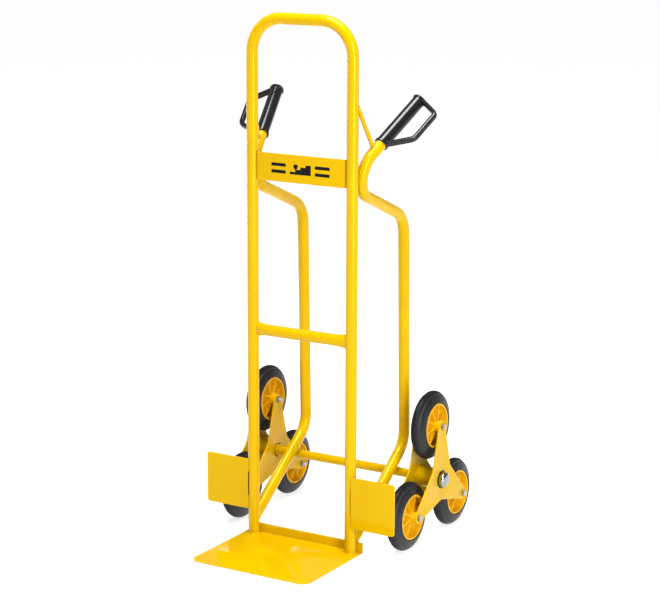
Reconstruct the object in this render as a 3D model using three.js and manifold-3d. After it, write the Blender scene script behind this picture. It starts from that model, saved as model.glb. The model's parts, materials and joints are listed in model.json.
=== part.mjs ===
// A stair-climbing hand truck: a bent-tube frame with a toe plate and two rear handles, carried on two
// three-armed stars with three rubber-tyred wheels each. Millimetres, +Z up, +Y towards the user behind
// the truck, +X to the right of someone who looks at the toe plate from the front.
// The frame is drawn with Y = 0 in the plane of the front posts, and the whole group is then moved so
// that its origin is on the floor, in the middle of the footprint.
import * as THREE from "three";
import { mergeVertices } from "three/addons/utils/BufferGeometryUtils.js";
import Module from "manifold-3d";

const wasm = await Module();
wasm.setup();

// ---- driving dimensions ----
const GAP = 0.3; // between pieces that touch
const TUBE_R = 12.5; // 25 mm round tube
const TUBE_WALL = 1.5;
const TUBE_SIDES = 12;
const ROUND_SIDES = 24; // wheels, caps and the holes in the star plates

const POST_X = 123.9; // centre of a front post
const HOOP_TOP = 1146.8; // centreline of the top bar
const HOOP_BEND = 74; // bend radius of the top corners, on the centreline
const CROSSBAR_Z = 472.3;
const PINCH_LENGTH = 28; // how far from its end the crossbar starts to be pinched
const PINCH_GAP = 12; // centre of the post to where the pinch is at its fullest
const PINCH_DEPTH = 0.65; // the pinched end's depth and height, as shares of the round tube's
const PINCH_HEIGHT = 1.25;

const SHEET = 3; // toe plate and wheel guards
const TOE_HALF_WIDTH = 147.2;
const TOE_FRONT_Y = -218.9;
const TOE_CORNER_R = 22;
const FLANGE_TOP = 23.6;

const NAME_PLATE_BOTTOM = 801.8;
const NAME_PLATE_TOP = 862.1;
const NAME_PLATE_SHEET = 2;
const NAME_PLATE_DEPTH = 12;

const GUARD_FRONT_Y = -13.2;
const GUARD_IN_X = POST_X + 7.7;
const GUARD_OUT_X = 239.5;
const GUARD_BOTTOM = 62;
const GUARD_TOP = 177;
const GUARD_CORNER_R = 6;

const WHEEL_R = 76; // 152 mm wheel
const STAR_ARM = 120.5; // axle to wheel bolt
const STAR_ANGLES = { upper: 90, front: 210, rear: 330 };
const AXLE_R = 10;
const AXLE_Y = 193.1;
const AXLE_Z = STAR_ARM / 2 + WHEEL_R;

const PLATE = 3.5; // star plates
const PLATE_OUT_X = 243.9; // outer face of the outer plate
const PLATE_IN_X = 183.25; // inner face of the inner plate
const PLATE_TIP_R = 13;
const PLATE_WAIST = 47; // axle to the hollow corner between two arms
const HUB_TUBE_R = 23;
const HUB_TUBE_BORE_R = 20;
const BOLT_R = 4;

const SIDE_TUBE_X = 129.2;
const TUBE_BACK_Y = 228.5; // the side tube's lower rear corner
const TUBE_BACK_Z = 196;
const TUBE_KNEE_Y = 214; // the side tube's upper rear corner
const TUBE_KNEE_Z = 711;
const WAIST_Y = 25; // where the side tube touches the back of the post
const WAIST_Z = 788.5;
const SIDE_TUBE_BENDS = [60, 60, 40, 66];
const BRACE_R = 4.5;
const BRACE_TOP = new THREE.Vector3(133, 5, 972);
const BRACE_FOOT = new THREE.Vector3(141.5, 55, 880);
const GRIP_START = new THREE.Vector3(149.5, 76.2, 888.5); // centre of the lower collar
const GRIP_END = new THREE.Vector3(179.8, 184.9, 970.5); // centre of the upper collar
const GRIP_R = 14;
const COLLAR_R = 16;
const COLLAR_WIDTH = 5;
const HAND_GUARD_OUT = 60; // grip axis to the middle of the strap
const STRAP_R = 5;

// ---- materials ----
function material(color, roughness, metalness = 0) {
  return new THREE.MeshStandardMaterial({ color, roughness, metalness });
}
const PAINT = material(0xfccb0c, 0.35);
const HUB_PLASTIC = material(0xf8ab08, 0.4);
const TYRE_RUBBER = material(0x2a2a2d, 0.75);
const BLACK_PLASTIC = material(0x141519, 0.3);
const ZINC = material(0xb9bdc2, 0.35, 0.9);
const CHROME = material(0xdadde0, 0.12, 1);

// ---- solids ----
function toSolid(geometry) {
  const bare = geometry.clone();
  bare.deleteAttribute("normal");
  bare.deleteAttribute("uv");
  const merged = mergeVertices(bare, 1e-3);
  const triVerts = new Uint32Array(merged.index.array);
  const vertProperties = new Float32Array(merged.attributes.position.array);
  const make = () => new wasm.Manifold(new wasm.Mesh({ numProp: 3, vertProperties, triVerts }));
  const solid = make();
  if (solid.volume() > 0) return solid;
  for (let i = 0; i < triVerts.length; i += 3) {
    [triVerts[i + 1], triVerts[i + 2]] = [triVerts[i + 2], triVerts[i + 1]];
  }
  return make();
}

function toGeometry(solid) {
  const { numProp, vertProperties, triVerts } = solid.getMesh();
  const points = new Float32Array((vertProperties.length / numProp) * 3);
  for (let i = 0; i < points.length / 3; i++) {
    points.set(vertProperties.subarray(i * numProp, i * numProp + 3), i * 3);
  }
  return new THREE.BufferGeometry()
    .setAttribute("position", new THREE.BufferAttribute(points, 3))
    .setIndex(new THREE.BufferAttribute(new Uint32Array(triVerts), 1));
}

function addMesh(parent, name, solid, look) {
  const mesh = new THREE.Mesh(toGeometry(solid), look);
  mesh.geometry.computeVertexNormals();
  mesh.name = name;
  parent.add(mesh);
  return mesh;
}

function box(x0, x1, y0, y1, z0, z1) {
  const geometry = new THREE.BoxGeometry(x1 - x0, y1 - y0, z1 - z0);
  geometry.translate((x0 + x1) / 2, (y0 + y1) / 2, (z0 + z1) / 2);
  return toSolid(geometry);
}

function ringPoints(radius, sides, turn = 0) {
  return Array.from({ length: sides }, (_, i) => {
    const angle = turn + (i / sides) * 2 * Math.PI;
    return new THREE.Vector2(radius * Math.cos(angle), radius * Math.sin(angle));
  });
}

function ringShape(radius, bore = 0, sides = TUBE_SIDES, turn = 0) {
  const shape = new THREE.Shape(ringPoints(radius, sides, turn));
  if (bore > 0) shape.holes.push(new THREE.Path(ringPoints(bore, sides, turn)));
  return shape;
}

// A profile of [radius, x] pairs turned about the X axis. It closes on itself or ends on the axis.
function lathe(profile, sides) {
  const points = profile.map(([r, x]) => new THREE.Vector2(r, x));
  const geometry = new THREE.LatheGeometry(points, sides, 0);
  geometry.rotateZ(-Math.PI / 2);
  return toSolid(geometry);
}

// A plain ring between two X positions.
function washer(radius, bore, x0, x1, sides) {
  return lathe([[bore, x0], [radius, x0], [radius, x1], [bore, x1], [bore, x0]], sides);
}

// An outline in the Y-Z plane, made a plate between two X positions.
function plateAcross(shape, x0, x1) {
  const geometry = new THREE.ExtrudeGeometry(shape, { depth: x1 - x0, bevelEnabled: false });
  geometry.applyMatrix4(new THREE.Matrix4().makeBasis(
    new THREE.Vector3(0, 1, 0),
    new THREE.Vector3(0, 0, 1),
    new THREE.Vector3(1, 0, 0),
  ));
  geometry.translate(x0, 0, 0);
  return toSolid(geometry);
}

// ---- bent tubes ----
// A path of straight runs joined by true arcs, with stations only where it starts, ends or bends.
class BentPath extends THREE.Curve {
  constructor(corners, radii, stepDegrees = 18) {
    super();
    const last = corners.length - 1;
    const heading = (i) => corners[i + 1].clone().sub(corners[i]).normalize();
    this.stations = [{ point: corners[0], tangent: heading(0) }];
    for (let i = 1; i < last; i++) {
      const [before, after, radius] = [heading(i - 1), heading(i), radii[i - 1]];
      const turn = before.angleTo(after);
      const start = corners[i].clone().addScaledVector(before, -radius * Math.tan(turn / 2));
      const inward = after.clone().addScaledVector(before, -after.dot(before)).normalize();
      const steps = Math.ceil(THREE.MathUtils.radToDeg(turn) / stepDegrees);
      for (let k = 0; k <= steps; k++) {
        const angle = (turn * k) / steps;
        const point = start.clone()
          .addScaledVector(before, radius * Math.sin(angle))
          .addScaledVector(inward, radius * (1 - Math.cos(angle)));
        const tangent = before.clone().multiplyScalar(Math.cos(angle));
        tangent.addScaledVector(inward, Math.sin(angle));
        this.stations.push({ point, tangent });
      }
    }
    this.stations.push({ point: corners[last], tangent: heading(last - 1) });
  }
  get steps() {
    return this.stations.length - 1;
  }
  getUtoTmapping(u) {
    return u;
  }
  getPoint(t, target = new THREE.Vector3()) {
    return target.copy(this.stations[Math.round(t * this.steps)].point);
  }
  getTangent(t, target = new THREE.Vector3()) {
    return target.copy(this.stations[Math.round(t * this.steps)].tangent);
  }
}

function sweep(path, shape) {
  const options = { steps: path.steps, extrudePath: path, bevelEnabled: false };
  return toSolid(new THREE.ExtrudeGeometry(shape, options));
}

function straightBar(from, to, radius, bore = 0, sides = TUBE_SIDES) {
  return sweep(new BentPath([from, to], []), ringShape(radius, bore, sides));
}

const vec = (x, y, z) => new THREE.Vector3(x, y, z);
const tubeSection = ringShape(TUBE_R, TUBE_R - TUBE_WALL);

// ---- frame pieces ----
const postFoot = SHEET + GAP;

function mainHoop() {
  const corners = [
    vec(-POST_X, 0, postFoot),
    vec(-POST_X, 0, HOOP_TOP),
    vec(POST_X, 0, HOOP_TOP),
    vec(POST_X, 0, postFoot),
  ];
  return sweep(new BentPath(corners, [HOOP_BEND, HOOP_BEND]), tubeSection);
}

// The space that a post takes, with the gap round it, for the pieces that are welded to the post.
function postSpace(side) {
  const top = HOOP_TOP - HOOP_BEND;
  return straightBar(vec(side * POST_X, 0, -1), vec(side * POST_X, 0, top), TUBE_R + GAP, 0, 24);
}

// A round tube whose ends are pinched flat and tall, then coped to the posts.
function crossbar() {
  const pinchEnd = POST_X - PINCH_GAP;
  const pinchStart = pinchEnd - PINCH_LENGTH;
  const inward = [0, 1, 2, 3, 4].map((k) => pinchEnd - (k * PINCH_LENGTH) / 4);
  const stations = [POST_X, ...inward].flatMap((x) => [-x, x]).sort((a, b) => a - b);
  const pinched = (radius) => {
    const steps = stations.length - 1;
    const geometry = new THREE.CylinderGeometry(radius, radius, steps, TUBE_SIDES, steps);
    geometry.rotateZ(Math.PI / 2);
    const p = geometry.attributes.position;
    for (let i = 0; i < p.count; i++) {
      const x = stations[Math.round(p.getX(i) + steps / 2)];
      const pinch = THREE.MathUtils.smoothstep(Math.abs(x), pinchStart, pinchEnd);
      const depth = THREE.MathUtils.lerp(1, PINCH_DEPTH, pinch);
      const height = THREE.MathUtils.lerp(1, PINCH_HEIGHT, pinch);
      p.setXYZ(i, x, p.getY(i) * depth, p.getZ(i) * height + CROSSBAR_Z);
    }
    return geometry;
  };
  const bore = toSolid(pinched(TUBE_R - TUBE_WALL).scale(1.01, 1, 1));
  return toSolid(pinched(TUBE_R)).subtract(bore).subtract(postSpace(1)).subtract(postSpace(-1));
}

// A shallow channel: a flat front with both ends folded back against the posts.
function namePlate() {
  const out = POST_X - TUBE_R - GAP;
  const fold = 5;
  const front = -NAME_PLATE_DEPTH / 2;
  const back = NAME_PLATE_DEPTH / 2;
  const shape = new THREE.Shape();
  shape.moveTo(-out, back);
  shape.lineTo(-out, front + fold);
  shape.absarc(-out + fold, front + fold, fold, Math.PI, 1.5 * Math.PI);
  shape.lineTo(out - fold, front);
  shape.absarc(out - fold, front + fold, fold, 1.5 * Math.PI, 2 * Math.PI);
  shape.lineTo(out, back);
  shape.lineTo(out - NAME_PLATE_SHEET, back);
  const inner = fold - NAME_PLATE_SHEET;
  shape.absarc(out - fold, front + fold, inner, 0, -0.5 * Math.PI, true);
  shape.absarc(-out + fold, front + fold, inner, -0.5 * Math.PI, -Math.PI, true);
  shape.lineTo(-out + NAME_PLATE_SHEET, back);
  shape.closePath();
  const depth = NAME_PLATE_TOP - NAME_PLATE_BOTTOM;
  const geometry = new THREE.ExtrudeGeometry(shape, { depth, bevelEnabled: false, curveSegments: 3 });
  geometry.translate(0, 0, NAME_PLATE_BOTTOM);
  return toSolid(geometry);
}

// One sheet with rounded front corners and its back edge folded up behind the posts.
function toePlate() {
  const flangeFront = TUBE_R + GAP;
  const back = flangeFront + SHEET;
  const fold = SHEET + GAP;
  const profile = new THREE.Shape();
  profile.moveTo(TOE_FRONT_Y, 0);
  profile.lineTo(back - fold, 0);
  profile.absarc(back - fold, fold, fold, -0.5 * Math.PI, 0);
  profile.lineTo(back, FLANGE_TOP);
  profile.lineTo(flangeFront, FLANGE_TOP);
  profile.absarc(back - fold, fold, fold - SHEET, 0, -0.5 * Math.PI, true);
  profile.lineTo(TOE_FRONT_Y, SHEET);
  profile.closePath();
  const outline = new THREE.Shape();
  const [w, r] = [TOE_HALF_WIDTH, TOE_CORNER_R];
  outline.moveTo(w, back + 1);
  outline.lineTo(-w, back + 1);
  outline.lineTo(-w, TOE_FRONT_Y + r);
  outline.absarc(-w + r, TOE_FRONT_Y + r, r, Math.PI, 1.5 * Math.PI);
  outline.absarc(w - r, TOE_FRONT_Y + r, r, 1.5 * Math.PI, 2 * Math.PI);
  outline.closePath();
  const bent = new THREE.ExtrudeGeometry(profile, { depth: 2 * w, bevelEnabled: false, curveSegments: 3 });
  bent.applyMatrix4(new THREE.Matrix4().makeBasis(vec(0, 1, 0), vec(0, 0, 1), vec(1, 0, 0)));
  bent.translate(-w, 0, 0);
  const cutter = new THREE.ExtrudeGeometry(outline, {
    depth: FLANGE_TOP + 2,
    bevelEnabled: false,
    curveSegments: 6,
  });
  cutter.translate(0, 0, -1);
  return toSolid(bent).intersect(toSolid(cutter));
}

// A flat sheet beside the post, square on its inner side and rounded at its two outer corners.
function wheelGuard() {
  const [x0, x1, z0, z1, r] = [GUARD_IN_X, GUARD_OUT_X, GUARD_BOTTOM, GUARD_TOP, GUARD_CORNER_R];
  const shape = new THREE.Shape();
  shape.moveTo(x0, z0);
  shape.lineTo(x1 - r, z0);
  shape.absarc(x1 - r, z0 + r, r, -0.5 * Math.PI, 0);
  shape.absarc(x1 - r, z1 - r, r, 0, 0.5 * Math.PI);
  shape.lineTo(x0, z1);
  shape.closePath();
  const geometry = new THREE.ExtrudeGeometry(shape, { depth: SHEET, bevelEnabled: false, curveSegments: 4 });
  geometry.rotateX(Math.PI / 2);
  geometry.translate(0, GUARD_FRONT_Y + SHEET, 0);
  return toSolid(geometry);
}

const gripAxis = GRIP_END.clone().sub(GRIP_START).normalize();

// The corners of a side tube's centreline, from the post foot to the end inside the grip.
function sideTubeCorners() {
  const slope = 0.735; // rise over run of the lower diagonal
  const footY = 4;
  const toWaist = (WAIST_Y - GRIP_START.y) / gripAxis.y;
  return [
    vec(SIDE_TUBE_X, footY, TUBE_BACK_Z - (TUBE_BACK_Y - footY) * slope),
    vec(SIDE_TUBE_X, TUBE_BACK_Y, TUBE_BACK_Z),
    vec(SIDE_TUBE_X, TUBE_KNEE_Y, TUBE_KNEE_Z),
    vec(SIDE_TUBE_X, WAIST_Y, WAIST_Z),
    GRIP_START.clone().addScaledVector(gripAxis, toWaist),
    GRIP_END.clone().addScaledVector(gripAxis, -6),
  ];
}

function sideTube() {
  const path = new BentPath(sideTubeCorners(), SIDE_TUBE_BENDS);
  const whole = sweep(path, tubeSection);
  const front = box(0, 200, -40, 3, -60, 200);
  const flange = box(0, 200, -40, TUBE_R + SHEET + 2 * GAP, -60, FLANGE_TOP + GAP);
  return whole.subtract(postSpace(1)).subtract(front).subtract(flange);
}

// A thin straight rod from the post down to the side tube, just below the grip.
function braceRod() {
  const path = new BentPath(sideTubeCorners(), SIDE_TUBE_BENDS);
  const tubeSpace = sweep(path, ringShape(TUBE_R + GAP, 0, 24));
  const rod = straightBar(BRACE_TOP, BRACE_FOOT, BRACE_R, 0, 10);
  return rod.subtract(postSpace(1)).subtract(tubeSpace);
}

// ---- grips: a sleeve with a collar at each end, closed at the top, and a D-shaped hand guard ----
const gripLength = GRIP_END.distanceTo(GRIP_START);
const guardDirection = vec(0.976, -0.152, -0.157);
guardDirection.addScaledVector(gripAxis, -guardDirection.dot(gripAxis)).normalize();

// A point of the grip: along its axis from the lower collar, and out towards the hand guard.
function gripPoint(along, out = 0) {
  return GRIP_START.clone().addScaledVector(gripAxis, along).addScaledVector(guardDirection, out);
}

function grip() {
  const half = COLLAR_WIDTH / 2;
  const bore = TUBE_R + GAP;
  const end = gripLength + half;
  const floor = gripLength - 3;
  const profile = [
    [bore, -half], [COLLAR_R, -half], [COLLAR_R, half], [GRIP_R, half],
    [GRIP_R, gripLength - half], [COLLAR_R, gripLength - half], [COLLAR_R, end - 1],
    [COLLAR_R - 2, end], [0, end], [0, floor], [bore, floor], [bore, -half],
  ];
  const points = profile.map(([r, z]) => new THREE.Vector2(r, z));
  const sleeve = new THREE.LatheGeometry(points, TUBE_SIDES);
  const side = guardDirection.clone().cross(gripAxis);
  // The lathe turns about Y, so its Y axis becomes the grip's axis.
  sleeve.applyMatrix4(new THREE.Matrix4().makeBasis(guardDirection, gripAxis, side));
  sleeve.translate(...GRIP_START.toArray());
  const corners = [
    gripPoint(gripLength, GRIP_R - 2),
    gripPoint(gripLength - 23, HAND_GUARD_OUT),
    gripPoint(38, HAND_GUARD_OUT),
    gripPoint(2, GRIP_R - 2),
  ];
  const strap = new THREE.Shape(ringPoints(STRAP_R, 8, Math.PI / 8));
  const inside = straightBar(gripPoint(-2 * half), gripPoint(floor), bore, 0, 24);
  return toSolid(sleeve).add(sweep(new BentPath(corners, [14, 18], 22), strap)).subtract(inside);
}

// ---- axle group ----
const CAP_R = 17;
const CAP_X = PLATE_OUT_X + 1.1;
const AXLE_END_X = PLATE_OUT_X + 8;

function axle() {
  return lathe([[0, -AXLE_END_X], [AXLE_R, -AXLE_END_X], [AXLE_R, AXLE_END_X], [0, AXLE_END_X]], 16);
}

function axleCap() {
  const bore = AXLE_R + GAP;
  const floor = AXLE_END_X + GAP;
  return lathe([
    [bore, CAP_X], [CAP_R, CAP_X], [CAP_R, CAP_X + 6], [CAP_R - 2, CAP_X + 9],
    [CAP_R - 7, CAP_X + 12], [0, CAP_X + 13], [0, floor], [bore, floor], [bore, CAP_X],
  ], ROUND_SIDES);
}

// ---- star pieces, in the star's own frame with the axle on its X axis ----
function armPoint(degrees, radius) {
  const angle = THREE.MathUtils.degToRad(degrees);
  return new THREE.Vector2(radius * Math.cos(angle), radius * Math.sin(angle));
}

const TIP_HALF_ARC = 78; // degrees of the tip's arc to each side of its arm

// The three-armed outline: a round tip on each arm and a hollow corner between two arms.
function starShape(centreHole) {
  const outline = [];
  for (const degrees of Object.values(STAR_ANGLES)) {
    outline.push(armPoint(degrees - 60, PLATE_WAIST));
    const tip = armPoint(degrees, STAR_ARM);
    for (let k = 0; k <= 6; k++) {
      const angle = THREE.MathUtils.degToRad(degrees - TIP_HALF_ARC + (TIP_HALF_ARC * k) / 3);
      outline.push(new THREE.Vector2(
        tip.x + PLATE_TIP_R * Math.cos(angle),
        tip.y + PLATE_TIP_R * Math.sin(angle),
      ));
    }
  }
  const shape = new THREE.Shape(outline);
  shape.holes.push(new THREE.Path(ringPoints(centreHole, ROUND_SIDES)));
  for (const degrees of Object.values(STAR_ANGLES)) {
    const tip = armPoint(degrees, STAR_ARM);
    shape.holes.push(new THREE.Path(ringPoints(BOLT_R + GAP, 8).map((p) => p.add(tip))));
  }
  return shape;
}

const hexShape = (acrossFlats, bore = 0) => {
  const shape = new THREE.Shape(ringPoints(acrossFlats / Math.sqrt(3), 6));
  if (bore > 0) shape.holes.push(new THREE.Path(ringPoints(bore, 8)));
  return shape;
};

function wheelBolt() {
  const headX = PLATE_OUT_X + GAP;
  const shank = plateAcross(ringShape(BOLT_R, 0, 8), PLATE_IN_X - 11, headX + 1);
  return shank.add(plateAcross(hexShape(13), headX, headX + 5.3));
}

function lockNut() {
  return plateAcross(hexShape(13, BOLT_R + GAP), PLATE_IN_X - 8.3, PLATE_IN_X - GAP);
}

// ---- wheel pieces, in the wheel's own frame, centred between the two plates ----
const WHEEL_X = (PLATE_OUT_X + PLATE_IN_X) / 2;
const BOSS_HALF = (PLATE_OUT_X - PLATE_IN_X) / 2 - PLATE - GAP;
const HUB_R = 50;
const HUB_HALF = 18;
const SLEEVE_R = 6;

// Mirrors a half profile about the wheel's middle plane and closes it.
function bothHalves(half) {
  const other = half.filter(([, x]) => x !== 0).map(([r, x]) => [r, -x]);
  return [...half, ...other.reverse(), half[0]];
}

function tyre() {
  const section = [
    [HUB_R + GAP, 17.5], [57, 15.8], [64, 12.4], [70, 9], [74, 6], [WHEEL_R, 2.5],
  ];
  return lathe(bothHalves(section), ROUND_SIDES);
}

function hub() {
  const bore = SLEEVE_R + GAP;
  const section = [
    [bore, BOSS_HALF], [13, BOSS_HALF], [14, 5], [44, 4], [46, HUB_HALF], [HUB_R, HUB_HALF],
  ];
  return lathe(bothHalves(section), ROUND_SIDES);
}

// ---- assembly ----
const truck = new THREE.Group();
const rearmost = AXLE_Y + STAR_ARM * Math.cos(Math.PI / 6) + WHEEL_R;
truck.position.y = -(TOE_FRONT_Y + rearmost) / 2;

addMesh(truck, "main_hoop", mainHoop(), PAINT);
addMesh(truck, "crossbar", crossbar(), PAINT);
addMesh(truck, "name_plate", namePlate(), PAINT);
addMesh(truck, "toe_plate", toePlate(), PAINT);

const sidePieces = [
  ["wheel_guard", wheelGuard(), PAINT],
  ["side_tube", sideTube(), PAINT],
  ["brace_rod", braceRod(), PAINT],
  ["grip", grip(), BLACK_PLASTIC],
];
const axlePieces = [
  ["axle_collar", washer(13.5, AXLE_R + GAP, PLATE_IN_X - 6, PLATE_IN_X + PLATE, 16), PAINT],
  ["axle_washer", washer(15, AXLE_R + GAP, PLATE_OUT_X - 0.7, CAP_X - GAP, 16), ZINC],
  ["axle_cap", axleCap(), CHROME],
];
const tubeStart = PLATE_IN_X + PLATE + GAP;
const tubeEnd = PLATE_OUT_X - PLATE - GAP;
const bushR = HUB_TUBE_BORE_R - GAP;
const starPieces = [
  ["outer_plate", plateAcross(starShape(HUB_TUBE_BORE_R), PLATE_OUT_X - PLATE, PLATE_OUT_X), PAINT],
  ["inner_plate", plateAcross(starShape(16), PLATE_IN_X, PLATE_IN_X + PLATE), PAINT],
  ["hub_tube", washer(HUB_TUBE_R, HUB_TUBE_BORE_R, tubeStart, tubeEnd, 24), PAINT],
  ["outer_bush", washer(bushR, AXLE_R + GAP, tubeEnd - 16, PLATE_OUT_X - 1, 24), BLACK_PLASTIC],
  ["inner_bush", washer(bushR, AXLE_R + GAP, tubeStart, tubeStart + 16, 24), BLACK_PLASTIC],
];
const bolt = wheelBolt();
const nut = lockNut();
const sleeve = washer(SLEEVE_R, BOLT_R + GAP, WHEEL_X - BOSS_HALF, WHEEL_X + BOSS_HALF, 8);
const tyreSolid = tyre();
const hubSolid = hub();

for (const [side, sign] of [["left", -1], ["right", 1]]) {
  for (const [name, solid, look] of sidePieces) {
    addMesh(truck, `${side}_${name}`, solid, look).scale.x = sign;
  }
  const atAxle = new THREE.Group();
  atAxle.position.set(0, AXLE_Y, AXLE_Z);
  atAxle.scale.x = sign;
  truck.add(atAxle);
  for (const [name, solid, look] of [...axlePieces, ...starPieces]) {
    addMesh(atAxle, `${side}_${name}`, solid, look);
  }
  for (const [place, degrees] of Object.entries(STAR_ANGLES)) {
    const atBolt = new THREE.Group();
    const { x, y } = armPoint(degrees, STAR_ARM);
    atBolt.position.set(0, x, y);
    atAxle.add(atBolt);
    addMesh(atBolt, `${side}_${place}_bolt`, bolt, ZINC);
    addMesh(atBolt, `${side}_${place}_nut`, nut, ZINC);
    addMesh(atBolt, `${side}_${place}_sleeve`, sleeve, ZINC);
    addMesh(atBolt, `${side}_${place}_hub`, hubSolid, HUB_PLASTIC).position.x = WHEEL_X;
    addMesh(atBolt, `${side}_${place}_tyre`, tyreSolid, TYRE_RUBBER).position.x = WHEEL_X;
  }
}

const axleMesh = addMesh(truck, "axle", axle(), PAINT);
axleMesh.position.set(0, AXLE_Y, AXLE_Z);

export default truck;
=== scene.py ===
"""Models a stair-climbing hand truck around its fixed frame: bent tubes, sheets, stars, wheels and grips.

Metres, +Z up, +Y towards the user behind the truck, +X to the right of someone who faces the toe plate.
"""
import json
import math
from itertools import pairwise

import bpy
from mathutils import Matrix, Vector


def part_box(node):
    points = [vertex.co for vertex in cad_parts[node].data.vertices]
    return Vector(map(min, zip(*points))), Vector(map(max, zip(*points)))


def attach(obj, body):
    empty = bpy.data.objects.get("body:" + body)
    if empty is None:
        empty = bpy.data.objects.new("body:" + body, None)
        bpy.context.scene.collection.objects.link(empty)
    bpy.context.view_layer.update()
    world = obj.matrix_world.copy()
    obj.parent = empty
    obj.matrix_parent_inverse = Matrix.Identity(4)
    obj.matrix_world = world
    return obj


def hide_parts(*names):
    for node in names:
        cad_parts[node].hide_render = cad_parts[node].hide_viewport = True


bl_info = {
    "name": "Stair Climbing Hand Truck",
    "version": (1, 0, 0),
    "blender": (4, 5, 0),
    "location": "3D View > Sidebar > Hand Truck",
    "description": "Models a tube-frame hand truck with two three-wheeled stars",
    "category": "Object",
}

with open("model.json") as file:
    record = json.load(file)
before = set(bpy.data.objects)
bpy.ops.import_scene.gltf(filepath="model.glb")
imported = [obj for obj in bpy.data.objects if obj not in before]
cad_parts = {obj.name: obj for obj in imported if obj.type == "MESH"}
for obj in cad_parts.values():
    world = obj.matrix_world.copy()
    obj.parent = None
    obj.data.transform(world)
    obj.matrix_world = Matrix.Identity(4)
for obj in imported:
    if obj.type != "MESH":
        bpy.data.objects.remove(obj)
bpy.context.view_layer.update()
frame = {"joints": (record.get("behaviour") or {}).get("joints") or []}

MM = 0.001
SIDES = {"right": 1, "left": -1}
ARMS = {"upper": 90, "front": 210, "rear": 330}  # the direction of each star arm, in degrees

# ---- sizes read from the frame ----
HOOP_LOW, HOOP_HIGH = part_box("main_hoop")
TUBE_R = (HOOP_HIGH.y - HOOP_LOW.y) / 2
POST_X = HOOP_HIGH.x - TUBE_R
POST_Y = HOOP_LOW.y + TUBE_R
POST_FOOT = HOOP_LOW.z
HOOP_TOP = HOOP_HIGH.z - TUBE_R
BAR_LOW, BAR_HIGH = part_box("crossbar")
BAR_Z = (BAR_LOW.z + BAR_HIGH.z) / 2
NAME_LOW, NAME_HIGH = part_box("name_plate")
TOE_LOW, TOE_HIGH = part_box("toe_plate")
GUARD_LOW, GUARD_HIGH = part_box("right_wheel_guard")
AXLE_LOW, AXLE_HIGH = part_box("axle")
AXLE = (AXLE_LOW + AXLE_HIGH) / 2
WHEEL_AT = {joint["child"]: Vector(joint["pos_m"]) for joint in frame["joints"]}
STAR_ARM = WHEEL_AT["right_upper_wheel"].z - AXLE.z

# ---- sizes of the turned parts, in millimetres ----
AXLE_R = (AXLE_HIGH.z - AXLE_LOW.z) / 2 / MM
OUTER_PLATE = [corner.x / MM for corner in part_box("right_outer_plate")]
INNER_PLATE = [corner.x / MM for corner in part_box("right_inner_plate")]
CAP_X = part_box("right_axle_cap")[0].x / MM
WHEEL_R = (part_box("right_upper_tyre")[1].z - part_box("right_upper_tyre")[0].z) / 2 / MM
PLAY = 0.3  # the gap between two parts that turn on each other
BOSS_HALF = (OUTER_PLATE[0] - INNER_PLATE[1]) / 2 - PLAY
BOLT_BORE = 4.3
HEX_FLATS = 13


def behind(x, back, up):
    """A point given from the middle of the posts' feet: across, back and up, in millimetres."""
    return Vector((x * MM, POST_Y + back * MM, up * MM))


GRIP_START = behind(149.5, 76.2, 888.5)
GRIP_END = behind(179.8, 184.9, 970.5)
GRIP_AXIS = (GRIP_END - GRIP_START).normalized()
GRIP_LENGTH = (GRIP_END - GRIP_START).length
WAIST_BACK = 25  # how far back the side tubes pass their waist, where they meet the posts
WAIST_ABOVE = GRIP_START + GRIP_AXIS * ((POST_Y + WAIST_BACK * MM - GRIP_START.y) / GRIP_AXIS.y)
SIDE_TUBE = [  # the corners of the right side tube's centreline
    behind(129.2, 4, 31),
    behind(129.2, 228.5, 196),
    behind(129.2, 214, 711),
    behind(129.2, WAIST_BACK, 788.5),
    WAIST_ABOVE,
    GRIP_END - GRIP_AXIS * 6 * MM,
]
GUARD_SEAM = (93 * MM, 147 * MM)  # the unwelded height between a guard and its post
ACROSS = Matrix(((0, 0, 1), (1, 0, 0), (0, 1, 0)))  # turns a flat shape from X-Y into Y-Z


# ---- what a user may change ----
def length(name, description, default):
    """A length in metres."""
    return bpy.props.FloatProperty(
        name=name, description=description, default=default, subtype="DISTANCE", unit="LENGTH")


def colour(name, description, default):
    """A linear colour."""
    return bpy.props.FloatVectorProperty(
        name=name, description=description, default=default, subtype="COLOR", size=3)


class HandTruckSizes(bpy.types.PropertyGroup):
    """The sizes that give the truck its look but not its layout."""

    tube_sides: bpy.props.IntProperty(
        name="Tube sides", description="Facets round each bent tube", default=40, min=16, max=96)
    bend_step: bpy.props.FloatProperty(
        name="Bend step", description="Angle between two rings of a tube bend",
        default=math.radians(5), subtype="ANGLE", unit="ROTATION")
    hoop_bend: length("Hoop bend", "Bend radius of the top corners, on the centreline", 74 * MM)
    sheet_edge: length("Sheet edge", "Rounding of the coated sheet edges", 0.6 * MM)
    weld_size: length("Weld size", "Half the width of a weld bead", 2.1 * MM)
    tread_grooves: bpy.props.IntProperty(
        name="Tread grooves", description="Grooves round the crown of a tyre", default=6, min=0, max=9)
    hub_ribs: bpy.props.IntProperty(
        name="Hub ribs", description="Radial ribs of a wheel hub", default=8, min=3, max=16)


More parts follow.
